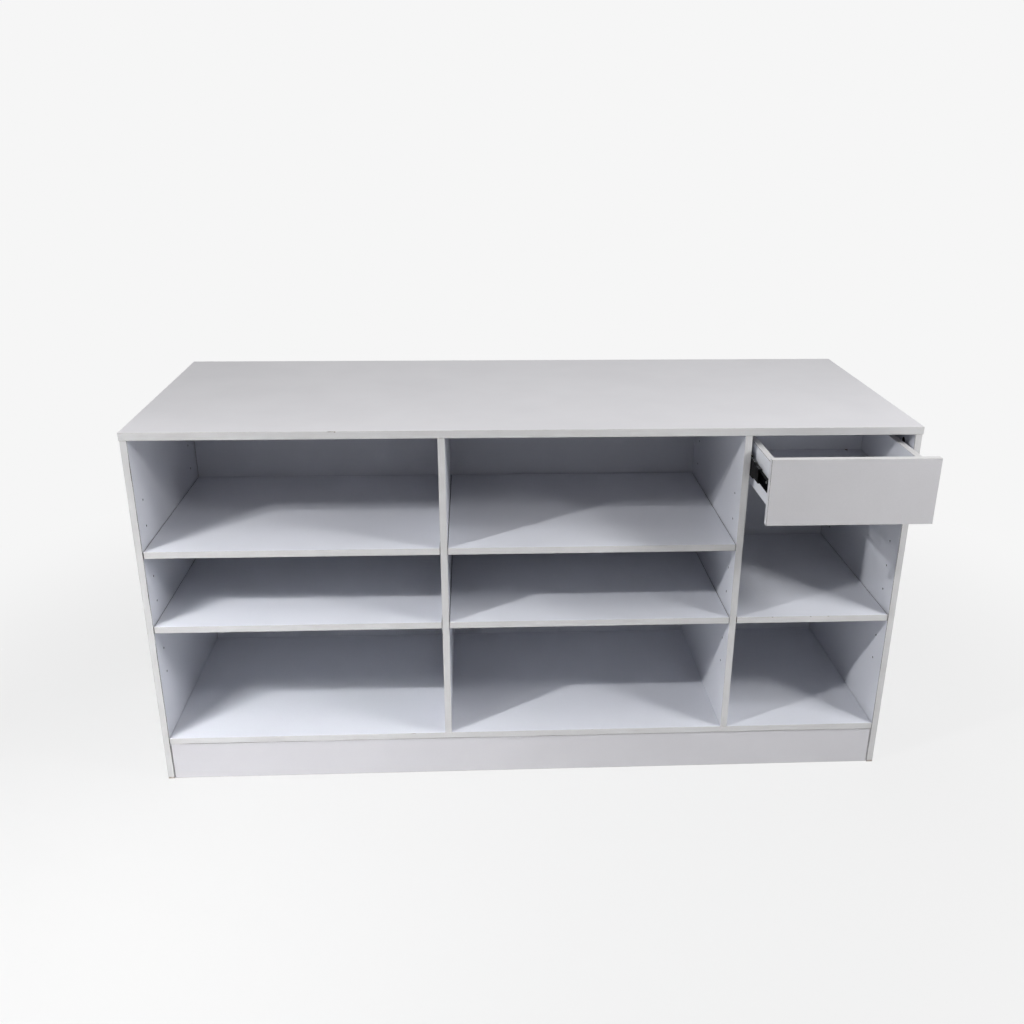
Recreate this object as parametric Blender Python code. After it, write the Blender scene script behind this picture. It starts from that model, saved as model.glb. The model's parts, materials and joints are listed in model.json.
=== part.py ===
"""Retail counter: open staff side with adjustable shelves and one drawer on ball-bearing slides.

Metres, +Z up. The staff side faces -Y and the customer side +Y. The carcass is drawn with its front
edges on y = 0 under one empty, which puts the origin on the floor below the middle of the whole object
with the drawer pulled out as far as DRAWER_OPENING.
"""

import math

import bmesh
import bpy
from mathutils import Matrix, Vector

# Boards and the carcass
BOARD = 0.016
WORKTOP = 0.018
LENGTH = 1.800
HEIGHT = 0.900
TOP_DEPTH = 0.700
TOP_END_OVERHANG = 0.002
INNER_DEPTH = 0.535
PLINTH_HEIGHT = 0.100
PLINTH_SETBACK = 0.002
WIDE_BAY = 0.680
FIT = 0.0003
OPEN_JOINT = 0.0008

# Shelves on pins in the drilled rows
SHELF_END_GAP = 0.0018
SHELF_BACK_GAP = 0.004
ROW_PITCH = 0.064
ROW_COUNT = 8
FIRST_ROW_ABOVE_BASE = 0.161
COLUMN_FROM_FRONT = 0.054
COLUMN_FROM_BACK = 0.061
LOWER_SHELF_ROW = 2
UPPER_SHELF_ROW = 5
PIN_PEG_DIAMETER = 0.0048
PIN_PEG_END_GAP = 0.001
GABLE_HOLE_SPARE = 0.0025
PIN_SPOON_LENGTH = 0.009
PIN_SPOON_WIDTH = 0.010
PIN_SPOON_THICKNESS = 0.0024
PIN_PEG_UNDER_SPOON = 0.65
PIN_SIDES = 10

# Cam fittings that hold the top down
CAM_DIAMETER = 0.0144
CAM_BACK_WALL = 0.003
CAM_BELOW_TOP = 0.032
CAM_FROM_FRONT = 0.062
CAM_BOLT_DIAMETER = 0.0064
CAM_BOLT_COVER = 0.0057
CAM_SLOT_WIDTH = 0.0022
CAM_SLOT_LENGTH = 0.0080
CAM_SLOT_DEPTH = 0.0030
CAM_SIDES = 16

# Drawer
DRAWER_OPENING = 0.160
DRAWER_SIDE_GAP = 0.003
DRAWER_TOP_GAP = 0.006
DRAWER_FRONT_HEIGHT = 0.150
DRAWER_BOX_DROP = 0.020
DRAWER_BOX_RISE = 0.030

# Three-member ball-bearing slides, as sections seen from the front
SLIDE_LENGTH = 0.400
SLIDE_SETBACK = 0.002
SLIDE_HEIGHT = 0.045
SLIDE_WALL = 0.0012
SLIDE_BEND = 0.0013
SLIDE_BEND_STEPS = 3
OUTER_BALL = 0.0038
OUTER_ROW_SHIFT = 0.0015
INNER_BALL = 0.0034
CAGE_ROOM = 0.0009
CAGE_SHEET = 0.0003
CAGE_LENGTH = 0.200
OUTER_CAGE_START = 0.002
INNER_CAGE_START = 0.100
BALLS_PER_ROW = 6
BALL_SEGMENTS = 8
BALL_RINGS = 4
SCREW_FROM_END = 0.040
SCREW_HOLE_DIAMETER = 0.0044
SCREW_HOLE_SIDES = 10

# Share of the drawer's travel that each set of slide pieces makes
MIDDLE_SHARE = 0.50
OUTER_CAGE_SHARE = 0.25
INNER_CAGE_SHARE = 0.75

# Heights and planes that follow from the sizes above
TOP_UNDERSIDE = HEIGHT - WORKTOP
PANEL_TOP = TOP_UNDERSIDE - FIT
BASE_UNDERSIDE = PLINTH_HEIGHT
BASE_TOP = BASE_UNDERSIDE + BOARD
GABLE_INNER = LENGTH / 2 - BOARD
LEFT_DIVIDER = (-GABLE_INNER + WIDE_BAY, -GABLE_INNER + WIDE_BAY + BOARD)
RIGHT_DIVIDER = (LEFT_DIVIDER[1] + WIDE_BAY, LEFT_DIVIDER[1] + WIDE_BAY + BOARD)
FIRST_ROW_Z = BASE_TOP + FIRST_ROW_ABOVE_BASE
REAR_COLUMN = INNER_DEPTH - COLUMN_FROM_BACK
HOLE_DIAMETER = PIN_PEG_DIAMETER + 2 * FIT
PIN_PEG_LENGTH = (BOARD - PIN_PEG_END_GAP) / 2
PIN_SEAT_ABOVE_AXIS = PIN_PEG_DIAMETER / 2 + FIT
GABLE_HOLE_DEPTH = PIN_PEG_LENGTH + GABLE_HOLE_SPARE
BAYS = {
    "left": (-GABLE_INNER, LEFT_DIVIDER[0]),
    "middle": (LEFT_DIVIDER[1], RIGHT_DIVIDER[0]),
    "right": (RIGHT_DIVIDER[1], GABLE_INNER),
}
SHELVES = {
    "left_upper": ("left", UPPER_SHELF_ROW),
    "left_lower": ("left", LOWER_SHELF_ROW),
    "middle_upper": ("middle", UPPER_SHELF_ROW),
    "middle_lower": ("middle", LOWER_SHELF_ROW),
    "right": ("right", LOWER_SHELF_ROW),
}
DRAWER_BAY = BAYS["right"]
DRAWER_FRONT_TOP = TOP_UNDERSIDE - DRAWER_TOP_GAP
DRAWER_BOX_TOP = DRAWER_FRONT_TOP - DRAWER_BOX_DROP
DRAWER_BOX_BOTTOM = DRAWER_FRONT_TOP - DRAWER_FRONT_HEIGHT + DRAWER_BOX_RISE
SLIDE_AXIS_Z = (DRAWER_BOX_TOP + DRAWER_BOX_BOTTOM) / 2
SLIDE_FRONT = BOARD + SLIDE_SETBACK
CAM_LENGTH = BOARD - CAM_BACK_WALL - FIT
CAM_HEIGHT_Z = TOP_UNDERSIDE - CAM_BELOW_TOP
CAM_BOLT_IN_TOP = WORKTOP - CAM_BOLT_COVER - FIT

# The slide's section, outwards from the wall and upwards from its axis: the members nest round the balls
CABINET_HALF = SLIDE_HEIGHT / 2
MIDDLE_HALF = CABINET_HALF - SLIDE_WALL - OUTER_BALL - 2 * FIT
DRAWER_HALF = MIDDLE_HALF - SLIDE_WALL - INNER_BALL - 2 * FIT
MIDDLE_WEB = SLIDE_WALL + CAGE_ROOM
DRAWER_LIP = MIDDLE_WEB + SLIDE_WALL + CAGE_ROOM
OUTER_ROW = (MIDDLE_WEB + FIT + OUTER_ROW_SHIFT + OUTER_BALL / 2, MIDDLE_HALF + FIT + OUTER_BALL / 2)
INNER_ROW = (DRAWER_LIP + SLIDE_WALL + FIT + INNER_BALL / 2, DRAWER_HALF + FIT + INNER_BALL / 2)
CABINET_REACH = OUTER_ROW[0] + OUTER_BALL / 2 + FIT + SLIDE_WALL
MIDDLE_REACH = INNER_ROW[0] + INNER_BALL / 2 + FIT + SLIDE_WALL
SLIDE_WIDTH = MIDDLE_REACH + CAGE_ROOM + SLIDE_WALL


def clear_scene():
    """Remove every object, mesh and material that the file starts with."""
    for item in list(bpy.data.objects):
        bpy.data.objects.remove(item, do_unlink=True)
    for stock in (bpy.data.meshes, bpy.data.materials):
        for block in list(stock):
            stock.remove(block)


def make_material(name, colour, roughness, metallic):
    """One Principled BSDF material from a linear colour."""
    material = bpy.data.materials.new(name)
    material.use_nodes = True
    shader = material.node_tree.nodes["Principled BSDF"]
    shader.inputs["Base Color"].default_value = (*colour, 1.0)
    shader.inputs["Roughness"].default_value = roughness
    shader.inputs["Metallic"].default_value = metallic
    material.diffuse_color = (*colour, 1.0)
    return material


def make_empty(name, parent, place):
    """An empty that carries a group of pieces."""
    empty = bpy.data.objects.new(name, None)
    empty.parent = parent
    empty.location = place
    bpy.context.scene.collection.objects.link(empty)
    return empty


def make_object(name, shape, material, parent, place):
    """Turn a bmesh into a named object at its place under its parent."""
    bmesh.ops.recalc_face_normals(shape, faces=shape.faces)
    mesh = bpy.data.meshes.new(name)
    shape.to_mesh(mesh)
    shape.free()
    piece = bpy.data.objects.new(name, mesh)
    piece.parent = parent
    piece.location = place
    if material:
        mesh.materials.append(material)
    bpy.context.scene.collection.objects.link(piece)
    return piece


def add_block(shape, low, high):
    """Add a rectangular block between two corners to a bmesh."""
    low, high = Vector(low), Vector(high)
    size = Matrix.Diagonal((*(high - low), 1.0))
    bmesh.ops.create_cube(shape, size=1.0, matrix=Matrix.Translation((low + high) / 2) @ size)


def add_rod(shape, start, axis, length, diameter, sides):
    """Add a round rod to a bmesh, from its start along an axis."""
    turn = Vector((0, 0, 1)).rotation_difference(Vector(axis)).to_matrix().to_4x4()
    middle = Matrix.Translation(Vector(start) + Vector(axis) * length / 2)
    radius = diameter / 2
    bmesh.ops.create_cone(shape, cap_ends=True, segments=sides, radius1=radius, radius2=radius,
                          depth=length, matrix=middle @ turn)


def make_board(name, low, high, material, parent):
    """A board between two corners, with its own origin at its middle."""
    low, high = Vector(low), Vector(high)
    half = (high - low) / 2
    shape = bmesh.new()
    add_block(shape, -half, half)
    return make_object(name, shape, material, parent, low + half)


def apply_cutter(piece, name, shape, operation="DIFFERENCE"):
    """Cut a piece with, or join it to, a hidden helper whose shape is drawn in the parent's frame."""
    helper = make_object(name, shape, None, piece.parent, (0, 0, 0))
    helper.hide_render = True
    helper.display_type = "WIRE"
    step = piece.modifiers.new(name, "BOOLEAN")
    step.operation = operation
    step.solver = "EXACT"
    step.object = helper


def shade_round(piece, angle_degrees=40):
    """Shade a round piece smooth, with its real edges kept sharp."""
    piece.data.shade_smooth()
    piece.data.set_sharp_from_angle(angle=math.radians(angle_degrees))


def drill_rows(panel, mouth_x, axis_x, depth):
    """Drill the two columns of shelf-pin holes into a panel, from one face along X."""
    shape = bmesh.new()
    for row in range(ROW_COUNT):
        for y in (COLUMN_FROM_FRONT, REAR_COLUMN):
            mouth = (mouth_x - axis_x * FIT, y, FIRST_ROW_Z + row * ROW_PITCH)
            add_rod(shape, mouth, (axis_x, 0, 0), depth + FIT, HOLE_DIAMETER, PIN_SIDES)
    apply_cutter(panel, panel.name + "_rows", shape)


def cam_places():
    """Where the cams sit along the depth of each panel: one near the front and one near the back."""
    return {"front": CAM_FROM_FRONT, "rear": REAR_COLUMN}


def drill_cams(panel, face_x, axis_x):
    """Bore a panel's face for the cams and its top edge for their bolts."""
    bores = bmesh.new()
    bolts = bmesh.new()
    for y in cam_places().values():
        mouth = (face_x - axis_x * FIT, y, CAM_HEIGHT_Z)
        add_rod(bores, mouth, (axis_x, 0, 0), CAM_LENGTH + 2 * FIT, CAM_DIAMETER + 2 * FIT, CAM_SIDES)
        foot = (face_x + axis_x * BOARD / 2, y, CAM_HEIGHT_Z)
        add_rod(bolts, foot, (0, 0, 1), CAM_BELOW_TOP, CAM_BOLT_DIAMETER + 2 * FIT, PIN_SIDES)
    apply_cutter(panel, panel.name + "_cam_bores", bores)
    apply_cutter(panel, panel.name + "_bolt_holes", bolts)


def build_cams(panel_name, face_x, axis_x, material, parent):
    """The cam fittings of one panel: a slotted drum in its face, with its bolt up into the top."""
    for place, y in cam_places().items():
        shape = bmesh.new()
        face = Vector((face_x, y, CAM_HEIGHT_Z))
        add_rod(shape, face, (axis_x, 0, 0), CAM_LENGTH, CAM_DIAMETER, CAM_SIDES)
        cam = make_object(f"cam_{panel_name}_{place}", shape, material, parent, (0, 0, 0))
        bolt = bmesh.new()
        foot = face + Vector((axis_x * BOARD / 2, 0, 0))
        add_rod(bolt, foot, (0, 0, 1), CAM_BELOW_TOP + CAM_BOLT_IN_TOP, CAM_BOLT_DIAMETER, PIN_SIDES)
        apply_cutter(cam, cam.name + "_bolt", bolt, "UNION")
        slot = bmesh.new()
        half = Vector((CAM_SLOT_DEPTH, CAM_SLOT_LENGTH / 2, CAM_SLOT_WIDTH / 2))
        add_block(slot, face - half, face + half)
        apply_cutter(cam, cam.name + "_slot", slot)
        shade_round(cam)


def cam_panels():
    """Each panel that carries the top: its name, the face with the cams and the way into the board."""
    return (
        ("gable_left", -GABLE_INNER, -1),
        ("divider_left", LEFT_DIVIDER[0], 1),
        ("divider_right", RIGHT_DIVIDER[1], -1),
        ("gable_right", GABLE_INNER, 1),
    )


def build_top(material, parent):
    """The worktop, bored underneath for the bolts of the cams."""
    end = LENGTH / 2 + TOP_END_OVERHANG
    top = make_board("top_panel", (-end, 0, TOP_UNDERSIDE), (end, TOP_DEPTH, HEIGHT), material, parent)
    shape = bmesh.new()
    for _, face_x, axis_x in cam_panels():
        for y in cam_places().values():
            mouth = (face_x + axis_x * BOARD / 2, y, TOP_UNDERSIDE - FIT)
            depth = CAM_BOLT_IN_TOP + 2 * FIT
            add_rod(shape, mouth, (0, 0, 1), depth, CAM_BOLT_DIAMETER + 2 * FIT, PIN_SIDES)
    apply_cutter(top, "top_panel_bolt_holes", shape)


def build_carcass(material, parent):
    """Gables, dividers, base, back, plinth and the braces under the base."""
    outer = LENGTH / 2
    panels = {}
    for side, low_x in (("left", -outer), ("right", GABLE_INNER)):
        high = (low_x + BOARD, TOP_DEPTH, PANEL_TOP)
        panels[f"gable_{side}"] = make_board(f"gable_{side}", (low_x, 0, 0), high, material, parent)
    inner = GABLE_INNER - OPEN_JOINT
    rear = INNER_DEPTH - FIT
    make_board("base_panel", (-inner, 0, BASE_UNDERSIDE), (inner, rear, BASE_TOP), material, parent)
    back_high = (inner, INNER_DEPTH + BOARD, PANEL_TOP)
    make_board("back_panel", (-inner, INNER_DEPTH, 0), back_high, material, parent)
    plinth_rear = PLINTH_SETBACK + BOARD
    under_base = BASE_UNDERSIDE - FIT
    plinth_high = (inner, plinth_rear, BASE_UNDERSIDE - OPEN_JOINT)
    make_board("plinth", (-inner, PLINTH_SETBACK, 0), plinth_high, material, parent)
    for side, (low_x, high_x) in (("left", LEFT_DIVIDER), ("right", RIGHT_DIVIDER)):
        low = (low_x, 0, BASE_TOP + FIT)
        high = (high_x, rear, PANEL_TOP)
        panels[f"divider_{side}"] = make_board(f"divider_{side}", low, high, material, parent)
        low = (low_x, plinth_rear + FIT, 0)
        make_board(f"plinth_brace_{side}", low, (high_x, rear, under_base), material, parent)
    drill_rows(panels["gable_left"], -GABLE_INNER, -1, GABLE_HOLE_DEPTH)
    drill_rows(panels["gable_right"], GABLE_INNER, 1, GABLE_HOLE_DEPTH)
    drill_rows(panels["divider_left"], LEFT_DIVIDER[0], 1, BOARD + FIT)
    drill_rows(panels["divider_right"], RIGHT_DIVIDER[0], 1, BOARD + FIT)
    for name, face_x, axis_x in cam_panels():
        drill_cams(panels[name], face_x, axis_x)


def build_pin(name, wall_x, into_bay, y, axis_z, material, parent):
    """A shelf pin: a peg in the panel's hole and a flat-topped spoon under the shelf."""
    seat = PIN_SEAT_ABOVE_AXIS
    shape = bmesh.new()
    half_width = PIN_SPOON_WIDTH / 2
    ends = sorted((into_bay * FIT, into_bay * PIN_SPOON_LENGTH))
    add_block(shape, (ends[0], -half_width, seat - PIN_SPOON_THICKNESS), (ends[1], half_width, seat))
    pin = make_object(name, shape, material, parent, (wall_x, y, axis_z))
    peg = bmesh.new()
    start = (wall_x - into_bay * PIN_PEG_LENGTH, y, axis_z)
    length = PIN_PEG_LENGTH + PIN_SPOON_LENGTH * PIN_PEG_UNDER_SPOON
    add_rod(peg, start, (into_bay, 0, 0), length, PIN_PEG_DIAMETER, PIN_SIDES)
    apply_cutter(pin, name + "_peg", peg, "UNION")


def build_shelves(board_material, pin_material, parent):
    """The loose shelves, each on four pins in the drilled rows."""
    for name, (bay, row) in SHELVES.items():
        low_x, high_x = BAYS[bay]
        axis_z = FIRST_ROW_Z + row * ROW_PITCH
        underside = axis_z + PIN_SEAT_ABOVE_AXIS + FIT
        low = (low_x + SHELF_END_GAP, 0, underside)
        high = (high_x - SHELF_END_GAP, INNER_DEPTH - SHELF_BACK_GAP, underside + BOARD)
        make_board(f"shelf_{name}", low, high, board_material, parent)
        for end, wall_x, into_bay in (("left", low_x, 1), ("right", high_x, -1)):
            for place, y in (("front", COLUMN_FROM_FRONT), ("rear", REAR_COLUMN)):
                build_pin(f"pin_{name}_{place}_{end}", wall_x, into_bay, y, axis_z, pin_material, parent)


def drawer_box_sides():
    """The outer faces of the drawer box: the bay less a slide and its two fits on each side."""
    inset = SLIDE_WIDTH + 2 * FIT
    return DRAWER_BAY[0] + inset, DRAWER_BAY[1] - inset


def build_drawer(material, parent, centre):
    """The drawer: a plain inset front on a box of two sides, a back and a bottom between them."""
    def place(name, low, high):
        """One board of the drawer, drawn where it lies with the drawer shut."""
        make_board(name, Vector(low) - centre, Vector(high) - centre, material, parent)

    front_low = (DRAWER_BAY[0] + DRAWER_SIDE_GAP, 0, DRAWER_FRONT_TOP - DRAWER_FRONT_HEIGHT)
    place("drawer_front", front_low, (DRAWER_BAY[1] - DRAWER_SIDE_GAP, BOARD, DRAWER_FRONT_TOP))
    left, right = drawer_box_sides()
    near = BOARD + FIT
    far = near + SLIDE_LENGTH
    low_z, high_z = DRAWER_BOX_BOTTOM, DRAWER_BOX_TOP
    place("drawer_side_left", (left, near, low_z), (left + BOARD, far, high_z))
    place("drawer_side_right", (right - BOARD, near, low_z), (right, far, high_z))
    inner_left = left + BOARD + FIT
    inner_right = right - BOARD - FIT
    place("drawer_back", (inner_left, far - BOARD, low_z), (inner_right, far, high_z))
    bottom_left = left + BOARD + OPEN_JOINT
    bottom_right = right - BOARD - OPEN_JOINT
    bottom_far = far - BOARD - OPEN_JOINT
    place("drawer_bottom", (bottom_left, near, low_z), (bottom_right, bottom_far, low_z + BOARD))


def folded_outline(corners, wall, bend, steps):
    """The closed outline of a sheet folded along corners, with each fold turned as an arc."""
    corners = [Vector(corner) for corner in corners]
    path = [(corners[0], (corners[1] - corners[0]).normalized())]
    for before, corner, after in zip(corners, corners[1:], corners[2:]):
        into = (corner - before).normalized()
        out = (after - corner).normalized()
        turn = math.atan2(into.x * out.y - into.y * out.x, into.dot(out))
        side = Vector((-into.y, into.x)) * math.copysign(bend, turn)
        start = corner - into * bend * math.tan(abs(turn) / 2)
        for step in range(steps + 1):
            swing = Matrix.Rotation(turn * step / steps, 2)
            path.append((start + side - swing @ side, swing @ into))
    path.append((corners[-1], (corners[-1] - corners[-2]).normalized()))
    left = [point + Vector((-way.y, way.x)) * wall / 2 for point, way in path]
    right = [point - Vector((-way.y, way.x)) * wall / 2 for point, way in path]
    return left + right[::-1]


def slide_sections():
    """Centre-line corners (across from the wall, up from the axis) of the three slide members."""
    half_wall = SLIDE_WALL / 2
    cabinet_up = CABINET_HALF - half_wall
    cabinet_out = CABINET_REACH - half_wall
    middle_web = MIDDLE_WEB + half_wall
    middle_up = MIDDLE_HALF - half_wall
    middle_out = MIDDLE_REACH - half_wall
    drawer_web = SLIDE_WIDTH - half_wall
    drawer_up = DRAWER_HALF - half_wall
    drawer_in = DRAWER_LIP + half_wall
    drawer_lip_end = INNER_ROW[1] - CAGE_SHEET / 2 - FIT
    upper = {
        "cabinet": [(cabinet_out, OUTER_ROW[1]), (cabinet_out, cabinet_up), (half_wall, cabinet_up)],
        "middle": [(middle_out, INNER_ROW[1]), (middle_out, middle_up), (middle_web, middle_up)],
        "drawer": [(drawer_in, drawer_lip_end), (drawer_in, drawer_up), (drawer_web, drawer_up)],
    }
    return {name: half + [(across, -up) for across, up in reversed(half)] for name, half in upper.items()}


def extrude_section(outline, side, length):
    """Extrude a section, drawn across from the wall, along +Y; side -1 draws it for the right-hand wall."""
    shape = bmesh.new()
    corners = [shape.verts.new((side * across, 0, up)) for across, up in outline]
    face = shape.faces.new(corners)
    grown = bmesh.ops.extrude_face_region(shape, geom=[face])
    moved = [item for item in grown["geom"] if isinstance(item, bmesh.types.BMVert)]
    bmesh.ops.translate(shape, verts=moved, vec=(0, length, 0))
    return shape


def build_slide_member(name, section, side, material, parent, place, web_across):
    """One channel of a slide, punched near both ends where it is screwed on."""
    outline = folded_outline(section, SLIDE_WALL, SLIDE_BEND, SLIDE_BEND_STEPS)
    member = make_object(name, extrude_section(outline, side, SLIDE_LENGTH), material, parent, place)
    shade_round(member)
    if web_across is None:
        return
    holes = bmesh.new()
    for along in (SCREW_FROM_END, SLIDE_LENGTH - SCREW_FROM_END):
        start = Vector(place) + Vector((side * (web_across - FIT), along, 0))
        add_rod(holes, start, (side, 0, 0), SLIDE_WALL + 2 * FIT, SCREW_HOLE_DIAMETER, SCREW_HOLE_SIDES)
    apply_cutter(member, name + "_holes", holes)


def build_cage(name, web, row, ball, side, material, parent, place):
    """A ball cage: a folded sheet round the inner member, with its two rows of balls in it."""
    reach = row[0] + ball / 2
    section = [(reach, row[1]), (web, row[1]), (web, -row[1]), (reach, -row[1])]
    outline = folded_outline(section, CAGE_SHEET, SLIDE_BEND / 2, SLIDE_BEND_STEPS)
    cage = make_object(name, extrude_section(outline, side, CAGE_LENGTH), material, parent, place)
    balls = bmesh.new()
    pitch = CAGE_LENGTH / BALLS_PER_ROW
    for count in range(BALLS_PER_ROW):
        for up in (row[1], -row[1]):
            middle = Vector(place) + Vector((side * row[0], pitch * (count + 0.5), up))
            bmesh.ops.create_uvsphere(balls, u_segments=BALL_SEGMENTS, v_segments=BALL_RINGS, radius=ball / 2,
                                      matrix=Matrix.Translation(middle))
    apply_cutter(cage, name + "_balls", balls, "UNION")


def build_slides(steel, cage_material, parents, centre):
    """The two slides: channels on the bay's walls and on the drawer, a middle channel and ball cages."""
    sections = slide_sections()
    outer_web = SLIDE_WALL + CAGE_ROOM / 2
    inner_web = MIDDLE_WEB + outer_web
    for name, wall_x, side in (("left", DRAWER_BAY[0] + FIT, 1), ("right", DRAWER_BAY[1] - FIT, -1)):
        start = Vector((wall_x, SLIDE_FRONT, SLIDE_AXIS_Z))
        apart = start - centre
        build_slide_member(f"slide_cabinet_{name}", sections["cabinet"], side, steel, parents["carcass"],
                           start, 0.0)
        build_slide_member(f"slide_middle_{name}", sections["middle"], side, steel, parents["middle"],
                           apart, None)
        build_slide_member(f"slide_drawer_{name}", sections["drawer"], side, steel, parents["drawer"],
                           apart, SLIDE_WIDTH - SLIDE_WALL)
        build_cage(f"slide_outer_cage_{name}", outer_web, OUTER_ROW, OUTER_BALL, side, cage_material,
                   parents["outer_cage"], apart + Vector((0, OUTER_CAGE_START, 0)))
        build_cage(f"slide_inner_cage_{name}", inner_web, INNER_ROW, INNER_BALL, side, cage_material,
                   parents["inner_cage"], apart + Vector((0, INNER_CAGE_START, 0)))


def build_counter():
    """Build the whole counter, with the drawer pulled out by DRAWER_OPENING."""
    clear_scene()
    melamine = make_material("white_melamine", (0.72, 0.72, 0.74), 0.45, 0.0)
    black_steel = make_material("black_zinc_steel", (0.012, 0.012, 0.013), 0.38, 0.9)
    bright_steel = make_material("nickel_plated_steel", (0.55, 0.55, 0.54), 0.30, 1.0)
    zinc = make_material("die_cast_zinc", (0.30, 0.30, 0.31), 0.45, 1.0)

    middle_y = (TOP_DEPTH - DRAWER_OPENING) / 2
    carcass = make_empty("counter", None, (0, -middle_y, 0))
    centre = Vector((sum(DRAWER_BAY) / 2, 0, SLIDE_AXIS_Z))
    parents = {"carcass": carcass}
    for name, share in (("drawer", 1.0), ("middle", MIDDLE_SHARE),
                        ("outer_cage", OUTER_CAGE_SHARE), ("inner_cage", INNER_CAGE_SHARE)):
        pulled = Vector((0, -share * DRAWER_OPENING, 0))
        parents[name] = make_empty(f"{name}_axis", carcass, centre + pulled)

    build_top(melamine, carcass)
    build_carcass(melamine, carcass)
    for panel_name, face_x, axis_x in cam_panels():
        build_cams(panel_name, face_x, axis_x, zinc, carcass)
    build_shelves(melamine, bright_steel, carcass)
    build_drawer(melamine, parents["drawer"], centre)
    build_slides(black_steel, bright_steel, parents, centre)


build_counter()
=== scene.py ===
"""Looks of a white retail counter, seen from the staff side.

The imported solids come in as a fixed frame. This script gives each of them its finish and adds the thin
pieces that a maker adds last: lipping on the board edges, cover discs, screws, ball cages and small chips.
Lengths are in metres unless a name says millimetres, +Z is up and the staff side faces -Y.
"""

from __future__ import annotations

import functools
import json
import logging
import math
import random
from dataclasses import dataclass, field
from enum import Enum, IntEnum, StrEnum
from typing import Protocol, Sequence

import bmesh
import bpy
from bmesh.types import BMesh, BMVert
from bpy.types import Material, MeshPolygon, Node, NodeSocket, NodeTree, Object, World
from mathutils import Matrix, Vector

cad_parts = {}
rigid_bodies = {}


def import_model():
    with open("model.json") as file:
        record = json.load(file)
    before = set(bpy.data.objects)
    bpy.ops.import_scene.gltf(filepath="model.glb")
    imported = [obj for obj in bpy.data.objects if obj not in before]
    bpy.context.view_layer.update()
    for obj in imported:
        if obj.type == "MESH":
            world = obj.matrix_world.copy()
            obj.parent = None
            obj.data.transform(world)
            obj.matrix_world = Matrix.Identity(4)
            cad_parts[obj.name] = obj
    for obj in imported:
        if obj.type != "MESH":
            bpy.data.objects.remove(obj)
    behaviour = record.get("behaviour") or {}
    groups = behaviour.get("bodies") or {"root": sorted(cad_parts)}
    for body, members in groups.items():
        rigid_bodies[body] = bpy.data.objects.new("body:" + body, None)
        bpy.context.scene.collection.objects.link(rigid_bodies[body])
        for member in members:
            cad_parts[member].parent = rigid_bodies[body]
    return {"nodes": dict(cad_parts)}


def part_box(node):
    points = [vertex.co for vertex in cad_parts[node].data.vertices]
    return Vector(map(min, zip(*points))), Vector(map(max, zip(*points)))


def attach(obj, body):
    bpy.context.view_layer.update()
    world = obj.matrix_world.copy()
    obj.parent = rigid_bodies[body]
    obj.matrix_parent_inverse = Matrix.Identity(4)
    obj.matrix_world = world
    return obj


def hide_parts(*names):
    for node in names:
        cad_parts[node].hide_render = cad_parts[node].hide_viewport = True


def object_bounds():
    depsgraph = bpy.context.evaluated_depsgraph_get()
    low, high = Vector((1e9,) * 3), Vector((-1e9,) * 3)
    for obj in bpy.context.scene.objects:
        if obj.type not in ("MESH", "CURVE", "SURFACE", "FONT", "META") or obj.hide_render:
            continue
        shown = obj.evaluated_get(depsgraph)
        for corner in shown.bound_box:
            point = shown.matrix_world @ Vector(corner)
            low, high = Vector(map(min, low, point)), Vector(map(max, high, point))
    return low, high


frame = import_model()
CAD_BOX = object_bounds()
LOG = logging.getLogger("counter")

Pair = tuple[float, float]
Point = tuple[float, float, float]

MM = 0.001
IMAGE_SIZE_PX = 1024
SENSOR_MM = 36.0
UP = Vector((0, 0, 1))
WELD_GAP = 0.00001
ROUNDING_STEPS = 2
NOISE = "TexNoise"
RANGE = "MapRange"
MATH = "Math"
MIX = "Mix"
BUMP = "Bump"
# Inputs of a Mix node, where only the numbers tell the two colours from other inputs of the same names
FACTOR, TONE_A, TONE_B = 0, 6, 7
# The number of a rounding that takes the finish of the faces beside it
AS_BESIDE = -1
# The outer face of the lipping on the staff side
STAFF_Y = -0.2705
# What most lamps are turned to, and the stand that two of them share
COUNTER_MIDDLE = (0.0, -0.05, 0.45)
LEFT_STAND = (-2.36, -1.8, 2.41)


class Body(Enum):
    """The bodies of the frame that pieces ride on."""

    CARCASS = "carcass"
    DRAWER = "drawer"
    MIDDLES = "slide_middles"
    OUTER_CAGES = "outer_cages"
    INNER_CAGES = "inner_cages"


class Slot(Enum):
    """The record's material slots."""

    MELAMINE = "melamine"
    SLIDE = "slide_steel"
    CAGE = "cage_steel"
    PIN = "pin_steel"
    CAM = "cam_zinc"


class Side(Enum):
    """The six sides of a board, each by the way that it faces."""

    FRONT = (0, -1, 0)
    BACK = (0, 1, 0)
    LEFT = (-1, 0, 0)
    RIGHT = (1, 0, 0)
    TOP = (0, 0, 1)
    BOTTOM = (0, 0, -1)

    @property
    def axis(self) -> int:
        """The axis, 0 to 2, that the side faces along."""
        return next(index for index, value in enumerate(self.value) if value)

    @property
    def sign(self) -> int:
        """Whether the side faces up or down its axis, as 1 or -1."""
        return self.value[self.axis]


class Zone(IntEnum):
    """The zones of a board's surface, as the numbers of its finishes."""

    FACE = 0
    RAW_EDGE = 1
    LIPPED_EDGE = 2
    HOLE = 3


class Hand(StrEnum):
    """The two slides, by the wall of the bay that they are screwed to."""

    LEFT = "left"
    RIGHT = "right"

    @property
    def into_bay(self) -> int:
        """The way along X from the slide's wall into the bay, as 1 or -1."""
        return 1 if self is Hand.LEFT else -1


class Member(StrEnum):
    """The three channels of a slide."""

    CABINET = "cabinet"
    MIDDLE = "middle"
    DRAWER = "drawer"


class Race(StrEnum):
    """The gaps between the channels, in which balls run."""

    OUTER = "outer"
    INNER = "inner"


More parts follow.
